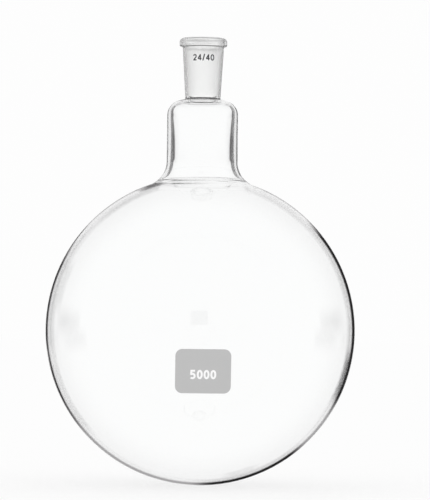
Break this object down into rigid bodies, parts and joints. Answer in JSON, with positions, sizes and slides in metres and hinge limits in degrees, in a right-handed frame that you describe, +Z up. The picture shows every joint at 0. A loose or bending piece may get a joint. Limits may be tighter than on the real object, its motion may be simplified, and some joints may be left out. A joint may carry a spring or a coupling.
{
  "type": "single neck flask",
  "caption": "Clear glass round bottom flask with a straight neck, a ground taper socket under a rolled lip, and a grey enamel marking patch.",
  "frame": {"origin": "lowest point of the bulb, on the axis of the flask", "axes": "+Z up the neck, along the axis of the flask; the front with the marking patch faces -Y"},
  "size_m": [0.223, 0.223, 0.3226],
  "materials": {
    "glass": "clear and fire polished, with the inside of the socket ground matt",
    "enamel": "fired enamel, satin grey"
  },
  "bodies": {
    "root": {"glass_flask": "glass", "marking_patch": "enamel"}
  },
  "joints": []
}
